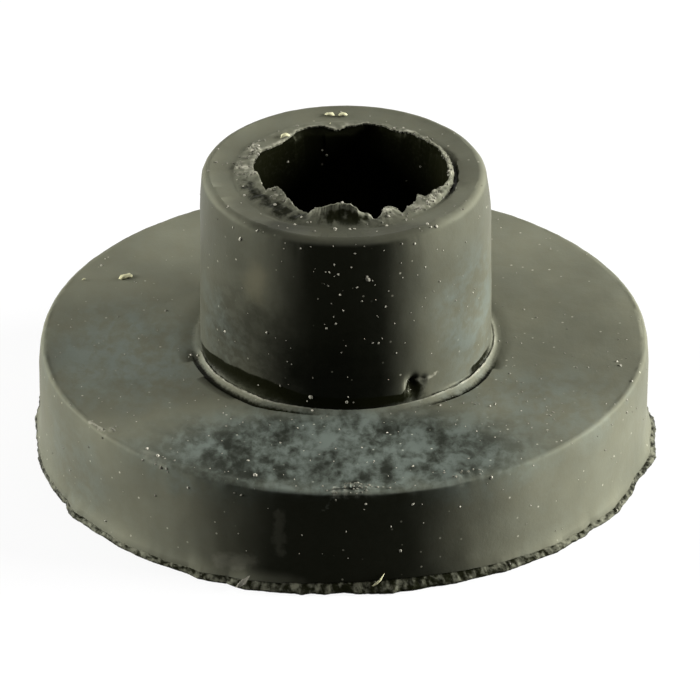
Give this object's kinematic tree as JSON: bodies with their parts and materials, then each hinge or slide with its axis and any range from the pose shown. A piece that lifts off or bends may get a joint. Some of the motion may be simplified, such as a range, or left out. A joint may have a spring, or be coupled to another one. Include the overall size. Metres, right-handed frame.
{
  "type": "rubber bushing",
  "caption": "Flanged rubber bushing with a thick round flange, a short straight neck and a through bore, with torn mould skin at the bore's mouth.",
  "frame": {"origin": "on the bore's axis, at the base face of the flange", "axes": "+Z along the bore, from the flange's base towards the neck; -Y is the front"},
  "size_m": [0.0328, 0.033, 0.0165],
  "materials": {
    "rubber": "black vulcanised rubber, dull satin with grey bloom and dust"
  },
  "bodies": {
    "root": {"bushing": "rubber"}
  },
  "joints": []
}
